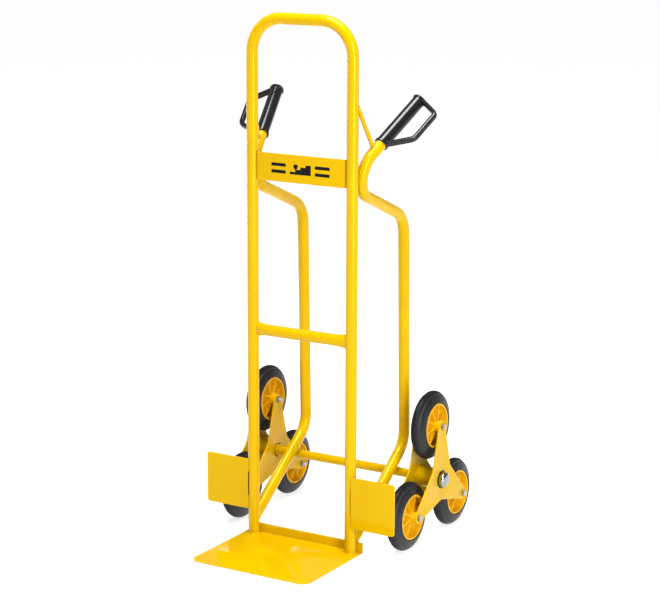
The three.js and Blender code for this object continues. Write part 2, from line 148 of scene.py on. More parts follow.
class HandTruckColours(bpy.types.PropertyGroup):
    """The colours of the truck's finishes, as linear values."""

    paint: colour("Paint", "Powder coat", (0.6, 0.362, 0.0004))
    paint_deep: colour("Thick paint", "Powder coat where it lies thick", (0.575, 0.335, 0.0004))
    # Painted highlight: a paler coat colour that is laid along the sharp edges of sheets and stars.
    paint_highlight: colour("Edge highlight", "Powder coat that is rubbed thin along an edge", (0.72, 0.5, 0.08))
    hub: colour("Hub", "Moulded hub plastic", (0.74, 0.385, 0.0007))
    rubber: colour("Rubber", "Tyre rubber", (0.006, 0.006, 0.007))
    grip: colour("Grip", "Grip plastic", (0.005, 0.005, 0.006))
    floor: colour("Floor", "Studio floor", (0.45, 0.45, 0.45))


def sizes():
    return bpy.context.scene.hand_truck_sizes


def colours():
    return bpy.context.scene.hand_truck_colours


# ---- modelling helpers ----
def begin(name):
    """Names the primitive that was just added and applies its place."""
    piece = bpy.context.object
    piece.name = name
    piece.data.name = name
    bpy.ops.object.transform_apply(location=True, rotation=True, scale=True)
    return piece


def only(piece):
    """Makes a piece the active one and the only selected one."""
    if bpy.context.object and bpy.context.object.mode != "OBJECT":
        bpy.ops.object.mode_set(mode="OBJECT")
    bpy.ops.object.select_all(action="DESELECT")
    piece.select_set(True)
    bpy.context.view_layer.objects.active = piece


def clear():
    """Leaves nothing selected, ready for a new primitive."""
    bpy.ops.object.select_all(action="DESELECT")


def edit(piece, action="SELECT"):
    """Opens a piece in edit mode with all or none of it selected."""
    only(piece)
    bpy.ops.object.mode_set(mode="EDIT")
    bpy.ops.mesh.select_all(action=action)


def finish_mesh(piece, smooth=35):
    """Merges doubles, turns the faces outwards and smooths all but the sharp edges."""
    edit(piece)
    bpy.ops.mesh.remove_doubles(threshold=0.005 * MM)
    bpy.ops.mesh.normals_make_consistent(inside=False)
    only(piece)
    bpy.ops.object.shade_smooth_by_angle(angle=math.radians(smooth))
    return piece


def apply_modifier(piece, kind, **settings):
    """Adds a modifier with its settings and applies it."""
    only(piece)
    modifier = piece.modifiers.new(kind.title(), kind)
    for key, value in settings.items():
        setattr(modifier, key, value)
    bpy.ops.object.modifier_apply(modifier=modifier.name)


def combine(piece, tool, operation):
    """Joins, cuts or crosses a piece with a tool, which is used up, and drops the slivers that leaves."""
    apply_modifier(piece, "BOOLEAN", object=tool, operation=operation, solver="EXACT")
    bpy.data.objects.remove(tool)
    edit(piece)
    bpy.ops.mesh.dissolve_degenerate(threshold=0.002 * MM)
    only(piece)
    return piece


def soften(piece, width, segments=2, limit=32):
    """Rounds the edges that are sharper than a limit in degrees."""
    apply_modifier(
        piece, "BEVEL", width=width, segments=segments, limit_method="ANGLE",
        angle_limit=math.radians(limit), harden_normals=False)
    return piece


def join(pieces):
    """Makes several pieces one mesh, under the first one's name."""
    only(pieces[0])
    for piece in pieces:
        piece.select_set(True)
    bpy.ops.object.join()
    return pieces[0]


def copy_of(piece, name, place):
    """A copy with its own mesh, moved by a matrix that goes into the mesh."""
    twin = piece.copy()
    twin.data = piece.data.copy()
    twin.name = name
    twin.data.name = name
    bpy.context.collection.objects.link(twin)
    twin.data.transform(place)
    if place.determinant() < 0:
        twin.data.flip_normals()
    return twin


def mirrored(piece, name):
    return copy_of(piece, name, Matrix.Scale(-1, 4, (1, 0, 0)))


def settle(piece, body, nodes, finish):
    """Gives a finished piece its material, hangs it on its body and hides the frame parts that it replaces.
    """
    if not piece.data.materials:
        piece.data.materials.append(finish_named(finish))
    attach(piece, body)
    if nodes:
        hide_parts(*nodes)


def settle_pair(right, body, node, finish):
    """Mirrors a right-hand piece and settles both; {side} in the body's name stands for their side."""
    left = mirrored(right, right.name.replace("right", "left"))
    for side, piece in (("right", right), ("left", left)):
        settle(piece, body.format(side=side), [f"{side}_{node}"], finish)


def wheels():
    """The side, the sign, the name and the place of each of the six wheels."""
    for side, sign in SIDES.items():
        for arm in ARMS:
            yield side, sign, f"{side}_{arm}", WHEEL_AT[f"{side}_{arm}_wheel"]


def arc(centre, radius, start, end, steps):
    """Points on an arc in a plane, in degrees."""
    angles = [math.radians(start + (end - start) * k / steps) for k in range(steps + 1)]
    return [(centre[0] + radius * math.cos(a), centre[1] + radius * math.sin(a)) for a in angles]


def upright(y, z=0):
    """The plane across the truck at a place back, with its second axis up from a height."""
    return Matrix(((1, 0, 0, 0), (0, 0, 1, y), (0, 1, 0, z), (0, 0, 0, 1)))


def draw_out(offset):
    """Extrudes what is selected in edit mode."""
    bpy.ops.mesh.extrude_region_move(TRANSFORM_OT_translate={"value": offset})


def block(name, centre, lengths):
    """A box about its centre, as a start."""
    clear()
    bpy.ops.mesh.primitive_cube_add(size=1, location=centre, scale=lengths)
    return begin(name)


def two_sided(half, middle=()):
    """A profile, what lies in its middle, and its mirror image."""
    return [*half, *middle, *((r, -x) for r, x in reversed(half))]


def turned(name, profile, sides=64, solid=True):
    """A round piece on the X axis, drawn out ring by ring through (radius, x) pairs in millimetres.

    A solid keeps its flat ends; otherwise the last ring meets the first."""
    clear()
    rings = [(r * MM, x * MM) for r, x in profile]
    radius, x = rings[0]
    bpy.ops.mesh.primitive_circle_add(
        vertices=sides, radius=radius, location=(x, 0, 0), rotation=ACROSS.to_euler(),
        fill_type="TRIFAN" if solid else "NOTHING")
    piece = begin(name)
    edit(piece)
    for (r_from, x_from), (r_to, x_to) in pairwise(rings if solid else rings + rings[:1]):
        draw_out((x_to - x_from, 0, 0))
        ratio = r_to / r_from
        bpy.ops.transform.resize(value=(1, ratio, ratio), center_override=(x_to, 0, 0))
    return finish_mesh(piece)


def ring(name, outer, bore, x_from, x_to, edge=0.4, sides=64):
    """A plain ring or sleeve with broken edges, in millimetres."""
    profile = [
        (bore + edge, x_from), (outer - edge, x_from), (outer, x_from + edge), (outer, x_to - edge),
        (outer - edge, x_to), (bore + edge, x_to), (bore, x_to - edge), (bore, x_from + edge),
    ]
    return turned(name, profile, sides, solid=False)


def outlined(name, outline, plane):
    """A face inside an outline of points in metres, stood in a plane."""
    clear()
    bpy.ops.mesh.primitive_circle_add(vertices=len(outline), radius=1, fill_type="NGON")
    piece = begin(name)
    for corner, point in zip(piece.data.vertices, outline):
        corner.co = plane @ Vector((*point, 0))
    return piece


def flat_plate(name, outline, plane, thickness):
    """An outlined plate, drawn out by a thickness, which is given as an offset."""
    piece = outlined(name, outline, plane)
    edit(piece)
    draw_out(thickness)
    return finish_mesh(piece)


def bent_tube(name, corners, bends, radius, sides=None, section=None):
    """A tube: a disc drawn along each straight run and spun round each bend.

    A section of (wide direction, half width, half height, squareness) makes it a rounded bar."""
    clear()
    heading = (corners[1] - corners[0]).normalized()
    bpy.ops.mesh.primitive_circle_add(
        vertices=sides or sizes().tube_sides, radius=radius, fill_type="NGON",
        location=corners[0], rotation=heading.to_track_quat("Z", "Y").to_euler())
    piece = begin(name)
    if section:
        wide, half_width, half_height, squareness = section
        high = heading.cross(wide)
        for vertex in piece.data.vertices:
            away = (vertex.co - corners[0]) / radius
            a, b = away.dot(wide), away.dot(high)
            across = math.copysign(abs(a) ** squareness, a) * half_width
            up = math.copysign(abs(b) ** squareness, b) * half_height
            vertex.co = corners[0] + wide * across + high * up
    edit(piece)
    here = corners[0]
    for i, bend in enumerate(bends, start=1):
        before = (corners[i] - corners[i - 1]).normalized()
        after = (corners[i + 1] - corners[i]).normalized()
        turn = before.angle(after)
        reach = bend * math.tan(turn / 2)
        start = corners[i] - before * reach
        draw_out(start - here)
        inward = (after - before * after.dot(before)).normalized()
        bpy.ops.mesh.spin(
            steps=max(2, round(turn / sizes().bend_step)), angle=turn,
            center=start + inward * bend, axis=inward.cross(before))
        here = corners[i] + after * reach
    draw_out(corners[-1] - here)
    return finish_mesh(piece)


def hex_body(name, flats, x_from, x_to):
    """A hexagon bar with the round chamfer that a lathe leaves on its corners, in millimetres."""
    clear()
    corner = flats / math.sqrt(3)
    bpy.ops.mesh.primitive_cylinder_add(
        vertices=6, radius=corner * MM, depth=(x_to - x_from) * MM,
        location=((x_from + x_to) / 2 * MM, 0, 0), rotation=ACROSS.to_euler())
    piece = begin(name)
    chamfer, past = 1.1, 0.01
    face, clear_of = flats / 2 - 0.1, corner + 0.2
    turning = turned(f"{name}_turning", [
        (face, x_from - past), (clear_of, x_from + chamfer),
        (clear_of, x_to - chamfer), (face, x_to + past),
    ], 72)
    return combine(piece, turning, "INTERSECT")


# ---- materials ----
SOCKETS = {"specular_ior_level": "Specular IOR Level"}


class Finish:
    """A material while it is wired: it adds nodes, joins them and ends in one Principled shader."""

    def __init__(self, name, **sockets):
        self.material = bpy.data.materials.new(name)
        self.material.use_nodes = True
        self.tree = self.material.node_tree
        self.shader = self.tree.nodes["Principled BSDF"]
        for key, value in sockets.items():
            self.shader.inputs[SOCKETS.get(key, key.replace("_", " ").title())].default_value = value
        self.place = self.node("ShaderNodeTexCoord").outputs["Object"]

    def node(self, kind, **settings):
        made = self.tree.nodes.new(kind)
        for key, value in settings.items():
            if hasattr(made, key):
                setattr(made, key, value)
            else:
                made.inputs[key.replace("_", " ").title()].default_value = value
        return made

    def link(self, source, target):
        self.tree.links.new(source, target)

    def noise(self, size, detail=2.0, roughness=0.5, stretch=(1, 1, 1)):
        """Grey noise with lumps of about a size in metres."""
        mapping = self.node("ShaderNodeMapping", scale=stretch)
        self.link(self.place, mapping.inputs["Vector"])
        noise = self.node("ShaderNodeTexNoise", scale=1 / size, detail=detail, roughness=roughness)
        self.link(mapping.outputs["Vector"], noise.inputs["Vector"])
        return noise.outputs["Fac"]

    def cells(self, size):
        """The distance from the nearest of many points, about a size in metres apart."""
        cells = self.node("ShaderNodeTexVoronoi", scale=1 / size)
        self.link(self.place, cells.inputs["Vector"])
        return cells.outputs["Distance"]

    def ramp(self, source, low, high, start=0.3, end=0.7):
        """Spreads a grey value that runs from a start to an end between two limits."""
        spread = self.node("ShaderNodeMapRange", from_min=start, from_max=end, to_min=low, to_max=high)
        self.link(source, spread.inputs["Value"])
        return spread.outputs["Result"]

    def uneven(self, size, detail, low, high, roughness=0.5):
        """Noise that wanders between two limits."""
        return self.ramp(self.noise(size, detail, roughness), low, high)

    def mix(self, factor, first, second):
        """Blends two colours by a grey value; either may be a colour or a socket."""
        mix = self.node("ShaderNodeMix", data_type="RGBA")
        self.link(factor, mix.inputs[0])
        for socket, colour in ((mix.inputs[6], first), (mix.inputs[7], second)):
            if isinstance(colour, bpy.types.NodeSocket):
                self.link(colour, socket)
            else:
                socket.default_value = (*colour, 1)
        return mix.outputs[2]

    def bump(self, height, strength, distance, under=None):
        """Raises the surface by a grey value, on top of another bump."""
        bump = self.node("ShaderNodeBump", strength=strength, distance=distance)
        self.link(height, bump.inputs["Height"])
        if under:
            self.link(under, bump.inputs["Normal"])
        return bump.outputs["Normal"]

    def painted_edge_highlight(self, tone, highlight_tone, reach):
        """Paints a paler highlight colour in broken patches within a reach of the sharp edges, as painted
        edge highlights.
        """
        rounded = self.node("ShaderNodeBevel", samples=4, radius=reach)
        facing = self.node("ShaderNodeVectorMath", operation="DOT_PRODUCT")
        self.link(rounded.outputs["Normal"], facing.inputs[0])
        self.link(self.node("ShaderNodeNewGeometry").outputs["Normal"], facing.inputs[1])
        patches = self.node("ShaderNodeMath", operation="MULTIPLY")
        self.link(self.ramp(facing.outputs["Value"], 0.0, 1.0, 0.995, 0.88), patches.inputs[0])
        self.link(self.uneven(4 * MM, 3, 0.1, 0.9), patches.inputs[1])
        return self.mix(patches.outputs["Value"], tone, highlight_tone)

    def done(self, tone, roughness, normal=None):
        """Feeds the shader and hands over the material."""
        for source, target in ((tone, "Base Color"), (roughness, "Roughness"), (normal, "Normal")):
            if source:
                self.link(source, self.shader.inputs[target])
        return self.material


def powder_coat(name, peel=1.6, grain=1.0, shine=(0.07, 0.12), gloss=0.35, sharp=False):
    """Gloss powder coat: a faint orange peel, uneven thickness and a few dust nibs."""
    coat = Finish(name, specular_ior_level=gloss, specular_tint=(1, 0.95, 0.15, 1))
    tone = coat.mix(coat.uneven(90 * MM, 3, 0.0, 1.0), colours().paint, colours().paint_deep)
    nibs = coat.ramp(coat.cells(16 * MM), 1.0, 0.0, 0.012, 0.03)
    skin = coat.bump(coat.noise(peel * MM, 2, 0.45), 0.1 * grain, 0.06 * MM)
    # On sheets and stars, a painted highlight: a paler colour in broken patches along the sharp edges.
    if sharp:
        tone = coat.painted_edge_highlight(tone, colours().paint_highlight, 1.2 * MM)
    return coat.done(tone, coat.uneven(14 * MM, 3, *shine), coat.bump(nibs, 0.25, 0.08 * MM, skin))


def moulded_hub():
    """Yellow-orange moulded plastic with flow marks and a fine satin grain."""
    plastic = Finish("ribbed_hub_plastic", specular_ior_level=0.3, specular_tint=(1, 0.92, 0.55, 1))
    deep = tuple(channel * 0.86 for channel in colours().hub)
    tone = plastic.mix(plastic.uneven(22 * MM, 4, 0.0, 1.0, 0.6), colours().hub, deep)
    grain = plastic.bump(plastic.noise(0.5 * MM, 2), 0.2, 0.05 * MM)
    flow = plastic.bump(plastic.noise(8 * MM, 1, 0.3, (1, 1, 0.4)), 0.1, 0.2 * MM, grain)
    return plastic.done(tone, plastic.uneven(5 * MM, 3, 0.3, 0.42), flow)


def tyre_rubber():
    """Solid rubber: rings that the mould leaves, a dull bloom and fine dust."""
    rubber = Finish("solid_tyre_rubber", specular_ior_level=0.3)
    across = rubber.node("ShaderNodeUVMap", uv_map="RadiusAcross")
    split = rubber.node("ShaderNodeSeparateXYZ")
    rubber.link(across.outputs["UV"], split.inputs["Vector"])
    turns = rubber.node("ShaderNodeMath", operation="MULTIPLY")
    turns.inputs[1].default_value = 2 * math.pi / (1.1 * MM)
    rubber.link(split.outputs["X"], turns.inputs[0])
    rings = rubber.node("ShaderNodeMath", operation="SINE")
    rubber.link(turns.outputs["Value"], rings.inputs[0])
    bloom = tuple(channel * 2.2 for channel in colours().rubber)
    tone = rubber.mix(rubber.uneven(18 * MM, 5, 0.0, 1.0, 0.65), colours().rubber, bloom)
    dusty = rubber.mix(rubber.uneven(1.3 * MM, 2, -0.15, 0.12), tone, (0.05, 0.049, 0.047))
    lines = rubber.bump(rings.outputs["Value"], 0.2, 0.06 * MM)
    grain = rubber.bump(rubber.noise(0.6 * MM, 2), 0.3, 0.08 * MM, lines)
    return rubber.done(dusty, rubber.uneven(7 * MM, 3, 0.3, 0.42), grain)


def gloss_black():
    """Black moulded grip plastic, glossy with light handling marks."""
    plastic = Finish("gloss_black_plastic", specular_ior_level=0.35)
    lighter = tuple(channel * 1.9 for channel in colours().grip)
    tone = plastic.mix(plastic.uneven(30 * MM, 3, 0.0, 1.0), colours().grip, lighter)
    ripple = plastic.bump(plastic.noise(9 * MM, 1), 0.05, 0.06 * MM)
    return plastic.done(tone, plastic.uneven(11 * MM, 3, 0.13, 0.18), ripple)


def matt_black():
    """Black bearing plastic, dull and slightly greasy."""
    plastic = Finish("bush_plastic")
    tone = plastic.mix(plastic.noise(3 * MM, 3), (0.008, 0.008, 0.009), (0.02, 0.019, 0.018))
    grain = plastic.bump(plastic.noise(0.4 * MM), 0.2, 0.05 * MM)
    return plastic.done(tone, plastic.uneven(2 * MM, 3, 0.35, 0.55), grain)


def zinc_plate():
    """Bright zinc on steel: pale, faintly blue, with small crystals and rolling marks."""
    zinc = Finish("zinc_plate", metallic=1.0)
    tone = zinc.mix(zinc.cells(1.4 * MM), (0.46, 0.47, 0.5), (0.3, 0.31, 0.33))
    marks = zinc.bump(zinc.noise(0.35 * MM, 3, 0.6), 0.15, 0.03 * MM)
    return zinc.done(tone, zinc.uneven(1.5 * MM, 3, 0.2, 0.36), marks)


def chrome_plate():
    """Polished chrome with hairline wiping marks."""
    chrome = Finish("chrome_plate", metallic=1.0)
    tone = chrome.mix(chrome.noise(12 * MM, 2), (0.36, 0.37, 0.4), (0.27, 0.285, 0.31))
    hair = chrome.bump(chrome.noise(0.5 * MM, 3, 0.6, (1, 0.15, 1)), 0.03, 0.02 * MM)
    return chrome.done(tone, chrome.uneven(3 * MM, 4, 0.04, 0.1), hair)


def nylon():
    """The pale insert of a lock nut."""
    insert = Finish("nylon_insert", subsurface_weight=0.2)
    tone = insert.mix(insert.noise(1 * MM, 2), (0.62, 0.64, 0.66), (0.48, 0.5, 0.53))
    return insert.done(tone, insert.uneven(0.7 * MM, 2, 0.35, 0.5))


def printed_black():
    """Screen-printed ink with a slightly uneven edge of gloss."""
    ink = Finish("printed_ink", specular_ior_level=0.12)
    tone = ink.mix(ink.noise(4 * MM, 3), (0.003, 0.003, 0.003), (0.008, 0.0075, 0.007))
    grain = ink.bump(ink.noise(0.8 * MM), 0.1, 0.05 * MM)
    return ink.done(tone, ink.uneven(2 * MM, 3, 0.3, 0.45), grain)


def seam_shadow():
    """A dark strip of painted shadow for the gap between a guard and its post, where shade falls."""
    seam = Finish("seam_shadow", specular_ior_level=0.1)
    tone = seam.mix(seam.noise(2 * MM, 3), (0.05, 0.02, 0.001), (0.12, 0.055, 0.001))
    grain = seam.bump(seam.noise(0.5 * MM), 0.2, 0.1 * MM)
    return seam.done(tone, seam.uneven(1 * MM, 2, 0.6, 0.9), grain)


def studio_floor():
    """A pale matt floor with a hardly visible mottle."""
    paper = Finish("studio_floor", emission_color=(1, 1, 1, 1), emission_strength=0.72)
    pale = colours().floor
    tone = paper.mix(paper.noise(0.4, 3), pale, tuple(channel * 0.985 for channel in pale))
    return paper.done(tone, paper.uneven(0.1, 2, 0.75, 0.9))


FINISHES = {
    "tube_coat": lambda: powder_coat("tube_coat", shine=(0.15, 0.21), gloss=0.5),
    "sheet_coat": lambda: powder_coat("sheet_coat", peel=2.6, grain=0.6, shine=(0.05, 0.1), sharp=True),
    "star_coat": lambda: powder_coat("star_coat", peel=2.0, shine=(0.16, 0.26), gloss=0.2, sharp=True),
    "weld_coat": lambda: powder_coat("weld_coat", peel=0.9, grain=2.2, shine=(0.2, 0.35)),
    "seam_shadow": seam_shadow,
    "hub_plastic": moulded_hub,
    "tyre_rubber": tyre_rubber,
    "black_plastic": gloss_black,
    "bush_plastic": matt_black,
    "zinc": zinc_plate,
    "chrome": chrome_plate,
    "nylon_insert": nylon,
    "printed_ink": printed_black,
    "studio_floor": studio_floor,
}
MADE = {}


def finish_named(name):
    """The material of that name, wired the first time that it is asked for."""
    if name not in MADE:
        MADE[name] = FINISHES[name]()
    return MADE[name]


# ---- operators: one for each piece or group of like pieces ----
class PieceOperator:
    """What all the operators share: they can be undone."""

    bl_options = {"REGISTER", "UNDO"}


class HANDTRUCK_OT_main_hoop(PieceOperator, bpy.types.Operator):
    """Bend the hoop: both posts and the top bar, one tube"""

    bl_idname = "hand_truck.main_hoop"
    bl_label = "Main Hoop"

    def execute(self, context):
        corners = [
            Vector((-POST_X, POST_Y, POST_FOOT)), Vector((-POST_X, POST_Y, HOOP_TOP)),
            Vector((POST_X, POST_Y, HOOP_TOP)), Vector((POST_X, POST_Y, POST_FOOT)),
        ]
        hoop = bent_tube("hoop_tube", corners, [sizes().hoop_bend] * 2, TUBE_R)
        settle(hoop, "frame", ["main_hoop"], "tube_coat")
        return {"FINISHED"}


class HANDTRUCK_OT_crossbar(PieceOperator, bpy.types.Operator):
    """Draw the crossbar, with its ends pinched flat and tall against the posts"""

    bl_idname = "hand_truck.crossbar"
    bl_label = "Crossbar"

    def execute(self, context):
        half, pinch_length, steps = POST_X - 6 * MM, 34 * MM, 8
        stations = [half - pinch_length * (1 - k / steps) for k in range(steps + 1)]
        stations = [-x for x in reversed(stations)] + stations
        clear()
        bpy.ops.mesh.primitive_circle_add(
            vertices=sizes().tube_sides, radius=TUBE_R, fill_type="NGON",
            location=(stations[0], POST_Y, BAR_Z), rotation=ACROSS.to_euler())
        bar = begin("crossbar_tube")
        edit(bar)
        depth, height = self.section(stations[0], half, pinch_length)
        bpy.ops.transform.resize(value=(1, depth, height), center_override=(0, POST_Y, BAR_Z))
        for start, end in pairwise(stations):
            draw_out((end - start, 0, 0))
            before = self.section(start, half, pinch_length)
            after = self.section(end, half, pinch_length)
            bpy.ops.transform.resize(
                value=(1, after[0] / before[0], after[1] / before[1]), center_override=(0, POST_Y, BAR_Z))
        finish_mesh(bar)
        settle(bar, "frame", ["crossbar"], "tube_coat")
        return {"FINISHED"}

    @staticmethod
    def section(x, half, pinch_length):
        """How much flatter and taller than round the bar is at a place along it."""
        share = max(0.0, 1 - (half - abs(x)) / pinch_length)
        pinch = share * share * (3 - 2 * share)
        return 1 - 0.35 * pinch, 1 + 0.25 * pinch


class HANDTRUCK_OT_name_plate(PieceOperator, bpy.types.Operator):
    """Fold the name plate and print its plain stair emblem"""

    bl_idname = "hand_truck.name_plate"
    bl_label = "Name Plate"

    def execute(self, context):
        fold, sheet = 5 * MM, 2 * MM
        out = NAME_HIGH.x
        front, back = NAME_LOW.y, NAME_HIGH.y
        outer = [(-out, back)] + arc((-out + fold, front + fold), fold, 180, 270, 8)
        outer += arc((out - fold, front + fold), fold, 270, 360, 8) + [(out, back)]
        inner = [(out - sheet, back)] + arc((out - fold, front + fold), fold - sheet, 360, 270, 8)
        inner += arc((-out + fold, front + fold), fold - sheet, 270, 180, 8) + [(-out + sheet, back)]
        height = NAME_HIGH.z - NAME_LOW.z
        plane = Matrix.Translation((0, 0, NAME_LOW.z))
        plate = flat_plate("name_plate_sheet", outer + inner, plane, (0, 0, height))
        soften(plate, sizes().sheet_edge)
        finish_mesh(plate)
        settle(plate, "frame", ["name_plate"], "sheet_coat")
        self.emblem()
        return {"FINISHED"}

    def emblem(self):
        """A flight of steps with a wheel on it, between two pairs of bars."""
        tread, rise, steps = 13 * MM, 5.4 * MM, 4
        wheel_r, print_depth = 5.6 * MM, 0.12 * MM
        bar_height, bar_near, bar_far = 7 * MM, 36 * MM, 72 * MM
        left, foot = -steps / 2 * tread, -11.5 * MM
        flight = [(left, foot), (left + steps * tread, foot)]
        for k in reversed(range(steps)):
            height = foot + (k + 1) * rise
            flight += [(left + (k + 1) * tread, height), (left + k * tread, height)]
        wheel = arc((left + 1.1 * tread, foot + 2 * rise + wheel_r + 0.2 * MM), wheel_r, 0, 345, 23)
        bars = [
            [(a, z), (b, z), (b, z + bar_height), (a, z + bar_height)]
            for a, b in ((-bar_far, -bar_near), (bar_near, bar_far)) for z in (foot, 3.3 * MM)
        ]
        face = upright(NAME_LOW.y, (NAME_LOW.z + NAME_HIGH.z) / 2)
        shapes = (flight, wheel, *bars)
        inks = [flat_plate("emblem", points, face, (0, -print_depth, 0)) for points in shapes]
        settle(join(inks), "frame", [], "printed_ink")


class HANDTRUCK_OT_toe_plate(PieceOperator, bpy.types.Operator):
    """Cut the toe plate, round its front corners and fold its back edge up"""

    bl_idname = "hand_truck.toe_plate"
    bl_label = "Toe Plate"

    def execute(self, context):
        sheet, corner = 3 * MM, 22 * MM
        fold = 1.8 * MM  # to the sheet's middle
        half, front = TOE_HIGH.x, TOE_LOW.y
        bend_start = TOE_HIGH.y - sheet / 2 - fold
        outline = arc((-half + corner, front + corner), corner, 180, 270, 14)
        outline += arc((half - corner, front + corner), corner, 270, 360, 14)
        outline += [(half, bend_start), (-half, bend_start)]
        plate = outlined("toe_plate_sheet", outline, Matrix.Translation((0, 0, sheet / 2)))
        edit(plate, "DESELECT")
        only(plate)
        points = plate.data.vertices
        for edge in plate.data.edges:
            edge.select = all(abs(points[v].co.y - bend_start) < 0.001 * MM for v in edge.vertices)
        bpy.ops.object.mode_set(mode="EDIT")
        bpy.ops.mesh.spin(
            steps=8, angle=math.pi / 2, center=(0, bend_start, sheet / 2 + fold), axis=(-1, 0, 0))
        draw_out((0, 0, TOE_HIGH.z - sheet / 2 - fold))
        finish_mesh(plate)
        apply_modifier(plate, "SOLIDIFY", thickness=sheet, offset=0)
        soften(plate, sizes().sheet_edge, segments=3)
        finish_mesh(plate)
        settle(plate, "frame", ["toe_plate"], "sheet_coat")
        return {"FINISHED"}


class HANDTRUCK_OT_wheel_guards(PieceOperator, bpy.types.Operator):
    """Cut the two flat sheets that keep a load off the wheels"""

    bl_idname = "hand_truck.wheel_guards"
    bl_label = "Wheel Guards"

    def execute(self, context):
        corner, small = 6 * MM, 1.2 * MM
        low, high = GUARD_LOW, GUARD_HIGH
        outline = arc((low.x + small, low.z + small), small, 180, 270, 4)
        outline += arc((high.x - corner, low.z + corner), corner, 270, 360, 10)
        outline += arc((high.x - corner, high.z - corner), corner, 0, 90, 10)
        outline += arc((low.x + small, high.z - small), small, 90, 180, 4)
        right = flat_plate("right_guard_sheet", outline, upright(low.y), (0, high.y - low.y, 0))
        soften(right, sizes().sheet_edge)
        finish_mesh(right)
        settle_pair(right, "frame", "wheel_guard", "sheet_coat")
        return {"FINISHED"}


class HANDTRUCK_OT_guard_seams(PieceOperator, bpy.types.Operator):
    """Put a dark strip of painted shadow in the gap between a guard and its post where no weld runs"""

    bl_idname = "hand_truck.guard_seams"
    bl_label = "Guard Seams"

    def execute(self, context):
        # A dark box put in as painted shadow in the gap between each guard and its post.
        wide, deep = 1.1 * MM, 2.6 * MM
        low, high = GUARD_SEAM
        centre = (GUARD_LOW.x - wide / 2, GUARD_HIGH.y - deep / 2, (low + high) / 2)
        right = block("guard_seam_shadows", centre, (wide, deep, high - low))
        soften(right, 0.3 * MM)
        finish_mesh(right)
        settle(join([right, mirrored(right, "left_seam")]), "frame", [], "seam_shadow")
        return {"FINISHED"}


class HANDTRUCK_OT_side_tubes(PieceOperator, bpy.types.Operator):
    """Bend the two side tubes from the post's foot up to the grip"""

    bl_idname = "hand_truck.side_tubes"
    bl_label = "Side Tubes"

    def execute(self, context):
        bends = [60 * MM, 60 * MM, 40 * MM, 66 * MM]
        right = bent_tube("right_side_bend", SIDE_TUBE, bends, TUBE_R)
        half, gap = 100 * MM, 0.3 * MM
        cuts = (
            (POST_X, POST_Y + 3 * MM - half, half / 2),
            (POST_X, TOE_HIGH.y + gap - half, TOE_HIGH.z + gap - half),
        )
        for centre in cuts:
            combine(right, block("cut", centre, [2 * half] * 3), "DIFFERENCE")
        finish_mesh(right)
        settle_pair(right, "frame", "side_tube", "tube_coat")
        return {"FINISHED"}


class HANDTRUCK_OT_brace_rods(PieceOperator, bpy.types.Operator):
    """Draw the thin rods between the posts and the handles"""

    bl_idname = "hand_truck.brace_rods"
    bl_label = "Brace Rods"

    def execute(self, context):
        ends = [behind(131, 7, 974), behind(141.5, 52, 886)]
        right = bent_tube("right_brace", ends, [], 4.5 * MM, sides=24)
        settle_pair(right, "frame", "brace_rod", "tube_coat")
        return {"FINISHED"}


class HANDTRUCK_OT_grips(PieceOperator, bpy.types.Operator):
    """Mould the grips: a sleeve with two collars and a D-shaped hand guard"""

    bl_idname = "hand_truck.grips"
    bl_label = "Grips"

    def execute(self, context):
        end = GRIP_LENGTH / MM
        grip_r, collar_r, half, bore = 14.0, 16.0, 2.5, 12.8
        profile = [
            (collar_r - 0.8, -half), (collar_r, -half + 0.8), (collar_r, half - 0.8),
            (collar_r - 0.7, half), (grip_r + 0.5, half + 0.2), (grip_r, half + 0.8),
            (grip_r + 0.15, end * 0.3), (grip_r + 0.15, end * 0.7),
            (grip_r, end - half - 0.8), (grip_r + 0.5, end - half - 0.2), (collar_r - 0.7, end - half),
            (collar_r, end - half + 0.7), (collar_r, end + half - 1.4),
            (collar_r - 0.5, end + half - 0.5), (collar_r - 1.6, end + half),
        ]
        out = Vector((0.976, -0.152, -0.157))
        out = (out - GRIP_AXIS * out.dot(GRIP_AXIS)).normalized()
        place = Matrix((GRIP_AXIS, out, GRIP_AXIS.cross(out))).transposed().to_4x4()
        place.translation = GRIP_START
        right = turned("right_grip_moulding", profile, 72)
        core = turned("grip_core", [(bore, -half - 10), (bore, end - 3)], 72)
        for piece in (right, core):
            piece.data.transform(place)
        strap_out, tucked = 60, 11
        path = ((end - 0.5, tucked), (end - 23, strap_out), (38, strap_out), (3, tucked))
        corners = [place @ (Vector((along, away, 0)) * MM) for along, away in path]
        section = (GRIP_AXIS.cross(out), 6.4 * MM, 4.9 * MM, 0.62)
        strap = bent_tube("strap", corners, [12 * MM, 17 * MM], 5 * MM, sides=32, section=section)
        combine(right, strap, "UNION")
        combine(right, core, "DIFFERENCE")
        finish_mesh(right)
        settle_pair(right, "frame", "grip", "black_plastic")
        return {"FINISHED"}


